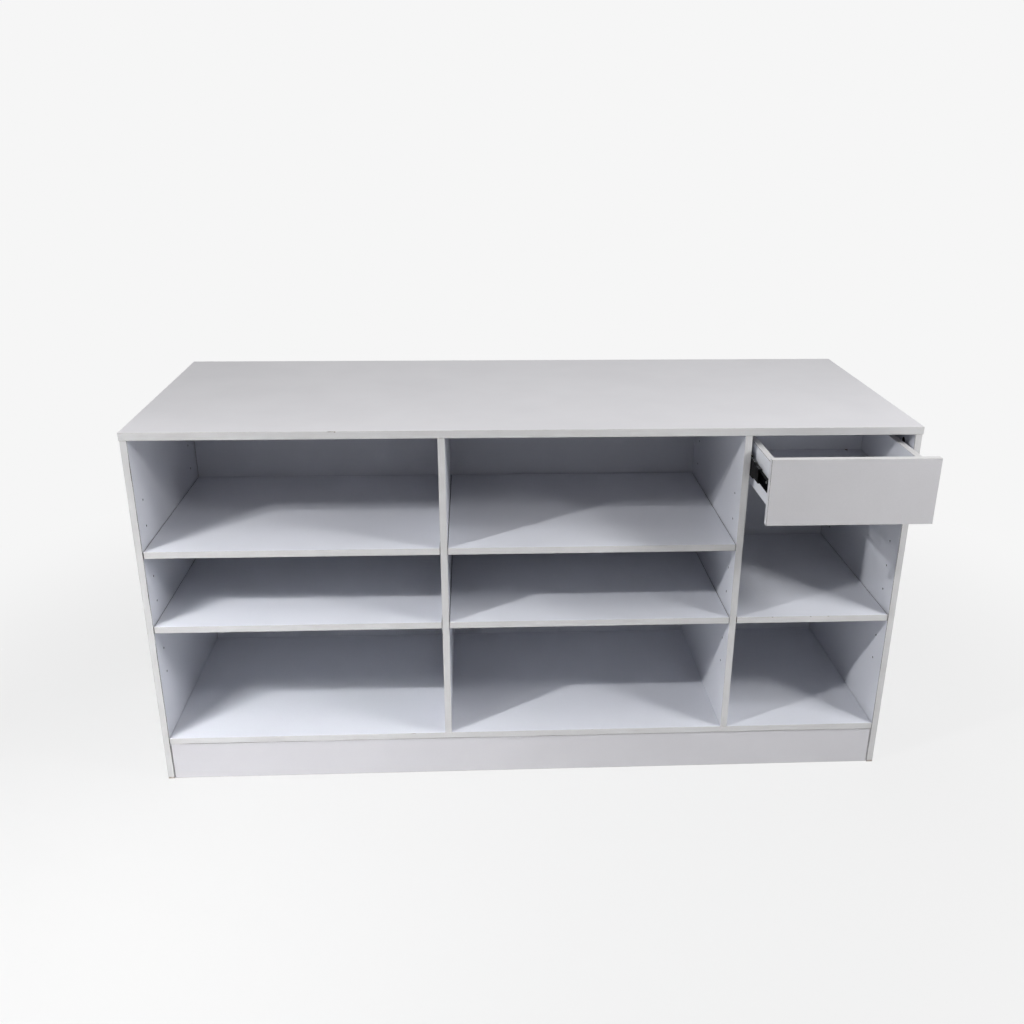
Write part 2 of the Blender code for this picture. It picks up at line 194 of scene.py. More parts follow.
def linear(code: str) -> tuple[float, float, float, float]:
    """Turns an sRGB hex colour into linear light.

    Args:
        code: The colour as "#RRGGBB".

    Returns:
        Linear red, green and blue, and an alpha of 1.
    """
    shares = [int(code[start:start + 2], 16) / 255 for start in (1, 3, 5)]
    curved = [share / 12.92 if share <= 0.04045 else ((share + 0.055) / 1.055) ** 2.4 for share in shares]
    return (*curved, 1.0)


def link(tree: NodeTree, node: Node, links: dict) -> None:
    """Feeds the inputs of a node.

    Args:
        tree: The tree that holds the node.
        node: The node that is fed.
        links: Sockets, or nodes for their first output in use, by the name or number of the input.
    """
    for key, source in links.items():
        if isinstance(source, Node):
            source = next(socket for socket in source.outputs if socket.enabled)
        tree.links.new(source, node.inputs[key])


def add_node(tree: NodeTree, kind: str, settings: dict | None = None, links: dict | None = None) -> Node:
    """Adds one node to a tree.

    Args:
        tree: The tree that gets the node.
        kind: Blender's name of the node type, without the ShaderNode that all begin with.
        settings: Values by property name, or else by input name or number.
        links: What feeds its inputs, as link takes it.

    Returns:
        The new node.
    """
    node = tree.nodes.new(f"ShaderNode{kind}")
    for key, value in (settings or {}).items():
        if isinstance(key, str) and key in node.bl_rna.properties:
            setattr(node, key, value)
        else:
            node.inputs[key].default_value = value
    link(tree, node, links or {})
    return node


def empty_tree(owner: Material | World) -> NodeTree:
    """Gives a material or world a node tree with nothing in it.

    Args:
        owner: The material or world.

    Returns:
        Its tree.
    """
    owner.use_nodes = True
    owner.node_tree.nodes.clear()
    return owner.node_tree


def start_material(name: str, settings: dict) -> tuple[Material, NodeTree, Node, NodeSocket]:
    """Starts a material with one Principled shader.

    Args:
        name: The material's name.
        settings: Constant values by the shader's input names.

    Returns:
        The material, its tree, its shader and the socket that tells the place on the object.
    """
    material = bpy.data.materials.new(name)
    tree = empty_tree(material)
    shader = add_node(tree, "BsdfPrincipled", settings)
    add_node(tree, "OutputMaterial", links={"Surface": shader})
    return material, tree, shader, add_node(tree, "TexCoord").outputs["Object"]


def light_paths(tree: NodeTree) -> tuple[Node, Node]:
    """Tells the rays that show the studio from those that only carry its light.

    Args:
        tree: The tree of the floor or the world.

    Returns:
        Nodes that give 1 to rays that come straight or through glass, and to these and mirrored ones.
    """
    path = add_node(tree, "LightPath").outputs
    straight = add_node(tree, MATH, {"operation": "MAXIMUM"},
                        {0: path["Is Camera Ray"], 1: path["Is Transmission Ray"]})
    seen = add_node(tree, MATH, {"operation": "MAXIMUM"}, {0: straight, 1: path["Is Glossy Ray"]})
    return straight, seen


class Finish(Protocol):
    """What every finish offers: a material, built once."""

    def build(self) -> Material:
        """The finish as a material."""


@dataclass(frozen=True)
class Grain:
    """A pattern of a finish: how wide its cells are and how many finer layers it has."""

    size_mm: float
    detail: float = 0.0

    @property
    def scale(self) -> float:
        """The texture scale at which a cell is size_mm wide in a frame of metres."""
        return 1 / (self.size_mm * MM)


@dataclass(frozen=True)
class FacedBoard:
    """Melamine-faced chipboard: white paper pressed in resin between finely dimpled steel plates.

    The eye gets a cool satin white, a faint pearl grain that breaks up highlights, and barely seen clouds.
    """

    name: str
    paper: str
    cloud: str
    roughness: float = 0.40
    swing: float = 0.05
    resin_ior: float = 1.52
    # Real dimples are about 0.8 mm; they are drawn coarser here so that they show at the photo's distance
    pearl: Grain = Grain(2.6, 2.0)
    pearl_range: Pair = (0.3, 0.7)
    pearl_share: float = 0.5
    clouds: Grain = Grain(140.0, 3.0)
    cloud_range: Pair = (0.35, 0.65)
    dimple_depth_mm: float = 0.012
    dimple_strength: float = 0.5

    def build(self) -> Material:
        """Mixes paper and clouds by noise of two sizes, and dimples the face.

        Returns:
            The board's face as a material.
        """
        material, tree, shader, place = start_material(self.name, {"IOR": self.resin_ior})
        pearl, clouds = (
            add_node(tree, NOISE, {"Scale": grain.scale, "Detail": grain.detail}, {"Vector": place})
            for grain in (self.pearl, self.clouds))
        fine, broad = (
            add_node(tree, RANGE, {"From Min": least, "From Max": most, "To Max": share}, {"Value": noise})
            for (least, most), share, noise in (
                (self.pearl_range, self.pearl_share, pearl),
                (self.cloud_range, 1 - self.pearl_share, clouds)))
        both = add_node(tree, MATH, {"operation": "ADD"}, {0: fine, 1: broad})
        tone = add_node(tree, MIX, {
            "data_type": "RGBA", TONE_A: linear(self.paper), TONE_B: linear(self.cloud)}, {FACTOR: both})
        satin = add_node(tree, RANGE, {
            "To Min": self.roughness - self.swing, "To Max": self.roughness + self.swing},
            {"Value": clouds})
        dimples = add_node(tree, BUMP, {
            "Strength": self.dimple_strength, "Distance": self.dimple_depth_mm * MM}, {"Height": pearl})
        link(tree, shader, {"Base Color": tone, "Roughness": satin, "Normal": dimples})
        return material


@dataclass(frozen=True)
class PvcLipping:
    """PVC edge band: extruded strip, glued on hot and trimmed flush.

    The eye gets a flat, slightly warmer white than the faces, with faint draw lines along the strip and a
    brown, scuffed foot where it meets the floor.
    """

    name: str = "pvc_lipping"
    strip: str = "#CACACB"
    rubbed: str = "#C5C4C4"
    foot_stain: str = "#8A7A66"
    roughness: float = 0.38
    swing: float = 0.06
    pvc_ior: float = 1.53
    # Draw lines are under 0.5 mm apart; they are drawn coarser so that they show
    lines: Grain = Grain(1.6, 1.0)
    line_squeeze: float = 0.02
    line_depth_mm: float = 0.01
    line_strength: float = 0.3
    rubs: Grain = Grain(60.0, 3.0)
    rub_range: Pair = (0.15, 0.38)
    foot_height_mm: float = 9.0
    scuffs: Grain = Grain(4.0, 3.0)
    scuff_range: Pair = (0.2, 0.55)

    def build(self) -> Material:
        """Draws lines along the strip by its UV map, rubs it in places and stains its foot.

        Returns:
            The strip as a material.
        """
        material, tree, shader, place = start_material(self.name, {"IOR": self.pvc_ior})
        uv = place.node.outputs["UV"]
        along = add_node(tree, "Mapping", {"Scale": (self.line_squeeze, 1.0, 1.0)}, {"Vector": uv})
        lines, rubs, scuffs = (
            add_node(tree, NOISE, {"Scale": grain.scale, "Detail": grain.detail}, {"Vector": where})
            for grain, where in ((self.lines, along), (self.rubs, place), (self.scuffs, place)))
        height = add_node(tree, "SeparateXYZ", links={"Vector": place})
        low = add_node(tree, RANGE, {"From Max": self.foot_height_mm * MM, "To Min": 1.0, "To Max": 0.0},
                       {"Value": height.outputs["Z"]})
        worn, stained = (
            add_node(tree, RANGE, {"From Min": least, "From Max": most},
                     {"Value": add_node(tree, MATH, {"operation": "MULTIPLY"}, {0: first, 1: second})})
            for (least, most), first, second in (
                (self.rub_range, lines, rubs), (self.scuff_range, low, scuffs)))
        tone = add_node(tree, MIX, {
            "data_type": "RGBA", TONE_A: linear(self.strip), TONE_B: linear(self.rubbed)}, {FACTOR: worn})
        colour = add_node(tree, MIX, {"data_type": "RGBA", TONE_B: linear(self.foot_stain)},
                          {FACTOR: stained, TONE_A: tone})
        gloss = add_node(tree, RANGE, {
            "To Min": self.roughness - self.swing, "To Max": self.roughness + self.swing},
            {"Value": rubs})
        bump = add_node(tree, BUMP, {
            "Strength": self.line_strength, "Distance": self.line_depth_mm * MM}, {"Height": lines})
        link(tree, shader, {"Base Color": colour, "Roughness": gloss, "Normal": bump})
        return material


@dataclass(frozen=True)
class TrimmedArris:
    """The arris where lipping was trimmed by hand: bare plastic with hot-melt glue and brown core showing.

    The eye gets a thin broken line, now grey, now brown, now gone. Its darkest kind is also painted
    shadow.
    """

    name: str
    strip: str
    glue: str
    shown_from: float
    shown_fade: float = 0.3
    roughness: float = 0.55
    dashes: Grain = Grain(38.0, 2.0)
    nicks: Grain = Grain(7.0, 2.0)

    def build(self) -> Material:
        """Breaks the line up by noise of two sizes.

        Returns:
            The glue line as a material.
        """
        material, tree, shader, place = start_material(self.name, {"Roughness": self.roughness})
        dashes, nicks = (
            add_node(tree, NOISE, {"Scale": grain.scale, "Detail": grain.detail}, {"Vector": place})
            for grain in (self.dashes, self.nicks))
        both = add_node(tree, MATH, {"operation": "ADD"}, {0: dashes, 1: nicks})
        shown = add_node(tree, RANGE, {
            "From Min": self.shown_from, "From Max": self.shown_from + self.shown_fade}, {"Value": both})
        tone = add_node(tree, MIX, {
            "data_type": "RGBA", TONE_A: linear(self.strip), TONE_B: linear(self.glue)}, {FACTOR: shown})
        link(tree, shader, {"Base Color": tone})
        return material


@dataclass(frozen=True)
class RawChipboard:
    """Sawn chipboard core: pressed wood flakes in resin.

    The eye gets a dry brown with paler and darker flakes and open pores; its darker copy is painted shade.
    """

    name: str
    flake: str
    dark_flake: str
    flakes: Grain = Grain(2.5)
    pore_depth_mm: float = 0.2
    pore_strength: float = 0.6
    roughness: float = 0.85

    def build(self) -> Material:
        """Gives each flake its own tone, with pores between them.

        Returns:
            The core as a material.
        """
        material, tree, shader, place = start_material(self.name, {"Roughness": self.roughness})
        flakes = add_node(tree, "TexVoronoi", {"Scale": self.flakes.scale}, {"Vector": place})
        shade = add_node(tree, "SeparateColor", links={"Color": flakes.outputs["Color"]}).outputs["Red"]
        tone = add_node(tree, MIX, {
            "data_type": "RGBA", TONE_A: linear(self.flake), TONE_B: linear(self.dark_flake)},
            {FACTOR: shade})
        pores = add_node(tree, BUMP, {"Strength": self.pore_strength, "Distance": self.pore_depth_mm * MM},
                         {"Height": flakes.outputs["Distance"]})
        link(tree, shader, {"Base Color": tone, "Normal": pores})
        return material


@dataclass(frozen=True)
class PlatedSteel:
    """Metal of the fittings: rolled steel under zinc, nickel or phosphate, and the cams' cast zinc.

    The eye gets a metal with soft streaks along its rolling direction and small rubbed patches.
    """

    name: str
    plate: str
    rubbed: str
    roughness: float
    metallic: float = 1.0
    shine: float = 0.5
    swing: float = 0.10
    streaks: Grain = Grain(1.2, 2.0)
    streak_squeeze: float = 0.04
    streak_depth_mm: float = 0.01
    streak_strength: float = 0.25
    patches: Grain = Grain(14.0, 4.0)
    patch_range: Pair = (0.5, 0.75)

    def build(self) -> Material:
        """Streaks the plating along Y and rubs it in patches.

        Returns:
            The plated metal as a material.
        """
        material, tree, shader, place = start_material(
            self.name, {"Metallic": self.metallic, "Specular IOR Level": self.shine})
        rolled = add_node(tree, "Mapping", {"Scale": (1.0, self.streak_squeeze, 1.0)}, {"Vector": place})
        streaks, patches = (
            add_node(tree, NOISE, {"Scale": grain.scale, "Detail": grain.detail}, {"Vector": where})
            for grain, where in ((self.streaks, rolled), (self.patches, place)))
        least, most = self.patch_range
        rub = add_node(tree, RANGE, {"From Min": least, "From Max": most}, {"Value": patches})
        tone = add_node(tree, MIX, {
            "data_type": "RGBA", TONE_A: linear(self.plate), TONE_B: linear(self.rubbed)}, {FACTOR: rub})
        gloss = add_node(tree, RANGE, {
            "To Min": self.roughness - self.swing, "To Max": self.roughness + self.swing},
            {"Value": streaks})
        bump = add_node(tree, BUMP, {
            "Strength": self.streak_strength, "Distance": self.streak_depth_mm * MM}, {"Height": streaks})
        link(tree, shader, {"Base Color": tone, "Roughness": gloss, "Normal": bump})
        return material


@dataclass(frozen=True)
class StudioPaper:
    """Seamless matt paper under and behind the counter, which keeps the counter's own soft shadow."""

    name: str = "studio_paper"
    paper: str = "#F6F6F6"
    lit: str = "#D4D4D4"
    bounce: str = "#F1F1F2"
    shadow_share: float = 0.16
    shadow_reach: Pair = (1.1, 2.3)

    def build(self) -> Material:
        """Keeps the paper evenly pale to the camera, but for the shadow close to the counter.

        Returns:
            The paper as a material.
        """
        material = bpy.data.materials.new(self.name)
        tree = empty_tree(material)
        straight, seen = light_paths(tree)
        sheet = add_node(tree, MIX, {
            "data_type": "RGBA", TONE_A: linear(self.bounce), TONE_B: linear(self.lit)},
            {FACTOR: straight})
        matt = add_node(tree, "BsdfDiffuse", links={"Color": sheet})
        glow = add_node(tree, "Emission", {"Color": linear(self.paper)})
        place = add_node(tree, "TexCoord").outputs["Object"]
        away = add_node(tree, "VectorMath", {"operation": "LENGTH"}, {0: place})
        near, far = self.shadow_reach
        evenness = add_node(tree, RANGE, {
            "interpolation_type": "SMOOTHSTEP", "From Min": near, "From Max": far,
            "To Min": 1 - self.shadow_share, "To Max": 1.0}, {"Value": away})
        share = add_node(tree, MATH, {"operation": "MULTIPLY"}, {0: seen, 1: evenness})
        mix = add_node(tree, "MixShader", links={FACTOR: share, 1: matt, 2: glow})
        add_node(tree, "OutputMaterial", links={"Surface": mix})
        return material


COOL_BOARD = FacedBoard("melamine_board_cool_white", "#DEE0E7", "#D9DBE2")
# The worktop's board is more neutral and darker than the cool faces inside: painted light, for warmer,
# dimmer light on the worktop
WORKTOP_PAINTED_LIGHT_BOARD = FacedBoard("melamine_board_white", "#D2D1D5", "#CDCCD0")
# The plinth and the drawer front are toned darker than the other boards: painted shade, for less light on
# these front-facing boards
PLINTH_PAINTED_SHADE_BOARD = FacedBoard("melamine_board_plinth", "#CCCBCF", "#C7C6CA")
DRAWER_FRONT_PAINTED_SHADE_BOARD = FacedBoard("melamine_board_drawer_front", "#C5C4C7", "#C0BFC2")
DRAWER_BOARD = FacedBoard("melamine_board_drawer", "#E8EAF0", "#E3E5EB")
LIPPING = PvcLipping()
WHITE_LIPPING = PvcLipping("pvc_lipping_white", "#E0E0E3", "#DADADD")
NEAT_ARRIS = TrimmedArris("trimmed_arris", "#C8C7C6", "#B4B2AE", 0.90)
GLUE_LINE = TrimmedArris("arris_with_glue_line", "#A9A6A1", "#3E3830", 0.72)
# Near-black arris line: a plain dark line on the gables' inner front arrises, and painted shadow under the
# base's front edge
DARK_LINE_AND_PAINTED_SHADOW = TrimmedArris("arris_with_dark_glue_line", "#6A645C", "#29231C", 0.75)
CORE = RawChipboard("raw_chipboard", "#80684C", "#46361F")
# A darker copy of the raw core: painted shade, for the shade inside drilled holes and in the gaps at the
# shelves' ends
SHADED_CHIPBOARD = RawChipboard("drilled_chipboard", "#3E3226", "#241C14")
BLACK_ZINC = PlatedSteel("black_zinc_steel", "#040405", "#0E0E0F", 0.42, 0.0, 0.04)
BRIGHT_ZINC = PlatedSteel("bright_zinc_steel", "#C9CBCC", "#B4B4B2", 0.26)
SCREW_ZINC = PlatedSteel("zinc_plated_screw", "#8E9091", "#7C7C7B", 0.38, 0.5)
NICKEL = PlatedSteel("nickel_plated_steel", "#C6C2BA", "#B5AFA4", 0.28)
CAST_ZINC = PlatedSteel("die_cast_zinc", "#4A4A4C", "#333336", 0.48)
# The cages are near black: painted shade, for the deep shade between the slide's channels
SHADED_RETAINER = PlatedSteel("blackened_retainer_steel", "#0D0D0F", "#19191B", 0.45, 0.2, 0.08)
STOP_STRIP = PlatedSteel("phosphated_strip_steel", "#58595C", "#6A6A6D", 0.40, 0.2, 0.2)


@functools.cache
def material_of(finish: Finish) -> Material:
    """The material of a finish, built the first time that it is asked for."""
    return finish.build()


def finish_node(name: str, *finishes: Finish) -> Object:
    """Gives a node of the frame its finishes, in place of any that it came with.

    Args:
        name: The node's name.
        finishes: The finishes by the faces' material numbers.

    Returns:
        The node.
    """
    node = frame["nodes"][name]
    node.data.materials.clear()
    for finish in finishes:
        node.data.materials.append(material_of(finish))
    return node


def add_object(name: str, shape: BMesh, finishes: Sequence[Finish] = ()) -> Object:
    """Adds an object to the scene.

    Args:
        name: The object's name.
        shape: Its bmesh, which is used up.
        finishes: The finishes by the faces' material numbers.

    Returns:
        The new object.
    """
    mesh = bpy.data.meshes.new(name)
    shape.to_mesh(mesh)
    shape.free()
    for finish in finishes:
        mesh.materials.append(material_of(finish))
    made = bpy.data.objects.new(name, mesh)
    bpy.context.scene.collection.objects.link(made)
    return made


def make_piece(name: str, shape: BMesh, finishes: Sequence[Finish], body: Body) -> Object:
    """Turns a bmesh, drawn in the frame, into a piece that rides on a body.

    Args:
        name: The piece's name.
        shape: The bmesh, which is used up.
        finishes: The finishes by the faces' material numbers.
        body: The body that carries the piece.

    Returns:
        The new object.
    """
    bmesh.ops.recalc_face_normals(shape, faces=shape.faces)
    piece = add_object(name, shape, finishes)
    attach(piece, body.value)
    LOG.info("piece %s on %s", name, body.value)
    return piece


def add_block(shape: BMesh, *corners: Point) -> None:
    """Adds a block between two opposite corners to a bmesh."""
    low, high = map(Vector, corners)
    bmesh.ops.create_cube(shape, size=1.0, matrix=Matrix.LocRotScale((low + high) / 2, None, high - low))


def close_prism(shape: BMesh, rims: Sequence[Sequence[BMVert]]) -> None:
    """Joins two rims of as many corners by walls, and caps both.

    Args:
        shape: The bmesh that holds the rims.
        rims: The two rims.
    """
    foot, crest = rims
    for step, corner in enumerate(foot):
        after = (step + 1) % len(foot)
        shape.faces.new([corner, foot[after], crest[after], crest[step]])
    for rim in rims:
        shape.faces.new(rim)


def add_turned(shape: BMesh, profile: Sequence[Pair], foot: Vector, axis: Vector,
               steps: int = 24) -> None:
    """Adds a turned form to a bmesh.

    Args:
        shape: The bmesh that gets the form.
        profile: Radius and height of each ring, from the foot up; a radius of 0 closes the form.
        foot: Where the axis starts.
        axis: The way that heights run.
        steps: How many facets go round.
    """
    turn = UP.rotation_difference(axis).to_matrix()
    rings = []
    for radius, height in profile:
        count = steps if radius else 1
        angles = [2 * math.pi * step / count for step in range(count)]
        ring = [Vector((radius * math.cos(angle), radius * math.sin(angle), height)) for angle in angles]
        rings.append([shape.verts.new(foot + turn @ point) for point in ring])
    for lower, upper in zip(rings, rings[1:]):
        for step in range(steps):
            after = (step + 1) % steps
            corners = [lower[step % len(lower)], lower[after % len(lower)],
                       upper[after % len(upper)], upper[step % len(upper)]]
            face = shape.faces.new(list(dict.fromkeys(corners)))
            face.smooth = True


def soften_edges(piece: Object, width: float, angle_degrees: float = 40.0,
                 finish: int = AS_BESIDE) -> None:
    """Rounds the sharp edges of a piece by a hair, as any made edge is.

    Args:
        piece: The object; a node of the frame keeps its own mesh.
        width: How wide the rounding is.
        angle_degrees: Edges that fold less than this stay as they are.
        finish: The material number of the rounding.
    """
    weld = piece.modifiers.new("weld", "WELD")
    weld.merge_threshold = WELD_GAP
    bevel = piece.modifiers.new("soft_edges", "BEVEL")
    bevel.width = width
    bevel.segments = ROUNDING_STEPS
    bevel.limit_method = "ANGLE"
    bevel.angle_limit = math.radians(angle_degrees)
    bevel.material = finish


@dataclass(frozen=True)
class Trim:
    """How one arris of a strip was trimmed: how wide, and what shows there."""

    width: float
    finish: Finish


@dataclass(frozen=True)
class Cover:
    """What an edge of a board carries: its name, its finish and how far it stands out."""

    name: str
    finish: Finish
    thickness: float = 0.0005


NEAT = Trim(0.0005, NEAT_ARRIS)
# The two dark trims: painted shadow under the base's front edge, a plain dark line on the gables' inner
# front arrises
DARK_TRIM_AND_PAINTED_SHADOW = Trim(0.0007, DARK_LINE_AND_PAINTED_SHADOW)
WIDE_DARK_TRIM = Trim(0.0012, DARK_LINE_AND_PAINTED_SHADOW)
SCUFFED = Trim(0.0007, GLUE_LINE)
# Trim of the shelves' sawn ends in chipboard in painted shade, for the shade in the gaps beside the
# shelves
SHADED_SAWN_TRIM = Trim(0.0004, SHADED_CHIPBOARD)
GREY_STRIP = Cover("lipping", LIPPING)
WHITE_STRIP = Cover("lipping", WHITE_LIPPING)
# Covers the shelves' sawn ends in chipboard in painted shade, which darkens the gaps beside them
SHADED_SAWN_END = Cover("sawn_end", SHADED_CHIPBOARD, 0.0009)


@dataclass
class EdgeStrip:
    """One strip on a board's edge, lipping or sawn fibres in painted shade, trimmed unevenly along both
    arrises.
    """

    node: str
    side: Side
    body: Body
    trims: tuple[Trim, Trim]
    cover: Cover
    station: float = 0.018
    least_stations: int = 3
    wander: Pair = (0.2, 1.8)
    smoothing: int = 3

    def trim_widths(self, count: int, mean: float, draw: random.Random) -> list[float]:
        """A width of trim for each of count stations, which wanders slowly about a mean."""
        rough = [mean * draw.uniform(*self.wander) for _ in range(count + self.smoothing - 1)]
        return [sum(rough[index:index + self.smoothing]) / self.smoothing for index in range(count)]

    def build(self) -> None:
        """Makes the strip, with its UV map along and across it."""
        low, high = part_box(self.node)
        out = Vector(self.side.value)
        across_axis, along_axis = sorted((axis for axis in range(3) if axis != self.side.axis),
                                         key=lambda axis: high[axis] - low[axis])
        half = (high[across_axis] - low[across_axis]) / 2
        length = high[along_axis] - low[along_axis]
        across = Vector([float(axis == across_axis) for axis in range(3)])
        along = Vector([float(axis == along_axis) for axis in range(3)])
        start = (low + high) / 2 - along * length / 2
        start[self.side.axis] = (high if self.side.sign > 0 else low)[self.side.axis]
        count = max(self.least_stations, round(length / self.station))
        draw = random.Random(f"{self.node} {self.side.name}")
        trims = [self.trim_widths(count + 1, trim.width, draw) for trim in self.trims]
        shape = bmesh.new()
        layer = shape.loops.layers.uv.new("lipping")
        sections = []
        for index in range(count + 1):
            point = start + along * length * index / count
            sections.append([shape.verts.new(point + across * shift + out * rise) for shift, rise in (
                (-half, 0.0), (trims[0][index] - half, self.cover.thickness),
                (half - trims[1][index], self.cover.thickness), (half, 0.0))])
        # The finishes of its four faces: first trim, cover, second trim and the side on the board
        numbers = (1, 0, 2, 0)
        for before, after in zip(sections, sections[1:]):
            for edge, number in enumerate(numbers):
                beside = (edge + 1) % len(numbers)
                face = shape.faces.new([before[edge], before[beside], after[beside], after[edge]])
                face.material_index = number
        for section in (sections[0], sections[-1]):
            shape.faces.new(section)
        for face in shape.faces:
            for loop in face.loops:
                offset = loop.vert.co - start
                loop[layer].uv = (offset.dot(along), offset.dot(across))
        name = f"{self.cover.name}_{self.node}_{self.side.name.lower()}"
        finishes = (self.cover.finish, *(trim.finish for trim in self.trims))
        make_piece(name, shape, finishes, self.body)


@dataclass
class Board:
    """One faced board of the frame: its two faces, its lipped edges and its raw edges."""

    node: str
    face: FacedBoard = COOL_BOARD
    lipped: tuple[Side, ...] = ()
    trims: dict[Side, tuple[Trim, Trim]] = field(default_factory=dict)
    covers: dict[Side, Cover] = field(default_factory=dict)
    body: Body = Body.CARCASS
    arris: float = 0.0003
    chipped_arris: bool = False
    tolerance: float = 0.00005
    least_facing: float = 0.99

    def side_of(self, polygon: MeshPolygon, low: Vector, high: Vector) -> Side | None:
        """Finds the side of the board that a polygon lies in.

        Args:
            polygon: A polygon of the board's mesh.
            low: The board's lowest corner.
            high: The board's highest corner.

        Returns:
            The side, or None in a drilled hole.
        """
        for side in Side:
            plane = (high if side.sign > 0 else low)[side.axis]
            near = abs(polygon.center[side.axis] - plane) < self.tolerance
            if near and polygon.normal.dot(Vector(side.value)) > self.least_facing:
                return side
        return None

    def is_outermost(self, side: Side) -> bool:
        """Whether a strip on a side would make the counter bigger: there the lipping is only a finish."""
        own, whole = (box[side.sign > 0][side.axis] for box in (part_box(self.node), CAD_BOX))
        return abs(own - whole) < self.tolerance

    def dress(self) -> None:
        """Gives the faces, raw edges and holes their finishes, then lips the edges."""
        low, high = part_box(self.node)
        thin = min(range(3), key=lambda axis: high[axis] - low[axis])
        # Drilled holes take the chipboard in painted shade, for the shade inside them
        node = finish_node(self.node, self.face, CORE, LIPPING, SHADED_CHIPBOARD)
        for polygon in node.data.polygons:
            side = self.side_of(polygon, low, high)
            if side and side.axis == thin:
                polygon.material_index = Zone.FACE
            elif side in self.lipped:
                polygon.material_index = Zone.LIPPED_EDGE
            else:
                polygon.material_index = Zone.RAW_EDGE if side else Zone.HOLE
        soften_edges(node, self.arris, finish=Zone.RAW_EDGE if self.chipped_arris else AS_BESIDE)
        for side in self.lipped:
            if not self.is_outermost(side):
                trims = self.trims.get(side, (NEAT, NEAT))
                EdgeStrip(self.node, side, self.body, trims, self.covers.get(side, GREY_STRIP)).build()


@dataclass
class Chip:
    """A small brown mark on a board: a chip in its lipping, where the core shows, or a stain."""

    name: str
    place: Point
    out: Side
    width: float
    height: float
    body: Body = Body.CARCASS
    rise: float = 0.00008
    corners: int = 11
    raggedness: Pair = (0.55, 1.1)
    crest_share: float = 0.8

    def build(self) -> None:
        """Makes the mark as a ragged flake, a hair proud of the surface around it."""
        draw = random.Random(self.name)
        out = Vector(self.out.value)
        upright = Vector((0, 1, 0)) if self.out is Side.TOP else UP
        level = upright.cross(out)
        shares = [draw.uniform(*self.raggedness) for _ in range(self.corners)]
        shape = bmesh.new()
        rims = []
        for height, spread in ((-self.rise, 1.0), (self.rise, self.crest_share)):
            rim = []
            for corner, share in enumerate(shares):
                angle = 2 * math.pi * corner / self.corners
                flat = level * self.width * math.cos(angle) + upright * self.height * math.sin(angle)
                rim.append(shape.verts.new(Vector(self.place) + flat * share * spread / 2 + out * height))
            rims.append(rim)
        close_prism(shape, rims)
        make_piece(self.name, shape, (CORE,), self.body)


@dataclass
class WearMarks:
    """The few chips and the stain that years of use have left."""

    chips: tuple[Chip, ...] = (
        Chip("chip_top_front", (-0.440, STAFF_Y, 0.8992), Side.FRONT, 0.024, 0.0016),
        Chip("chip_top_front_small", (-0.430, STAFF_Y, 0.8988), Side.FRONT, 0.007, 0.0022),
        Chip("chip_base_front", (-0.282, STAFF_Y, 0.1152), Side.FRONT, 0.020, 0.0014),
        Chip("chip_shelf_right_1", (0.597, STAFF_Y, 0.4231), Side.FRONT, 0.005, 0.0018),
        Chip("chip_shelf_right_2", (0.691, STAFF_Y, 0.4233), Side.FRONT, 0.006, 0.0013),
        Chip("chip_shelf_right_3", (0.735, STAFF_Y, 0.4233), Side.FRONT, 0.008, 0.0012),
        Chip("stain_drawer_bottom", (0.8155, -0.0335, 0.7721), Side.TOP, 0.0080, 0.0095, Body.DRAWER),
    )

    def build(self) -> None:
        """Makes every mark."""
        for chip in self.chips:
            chip.build()


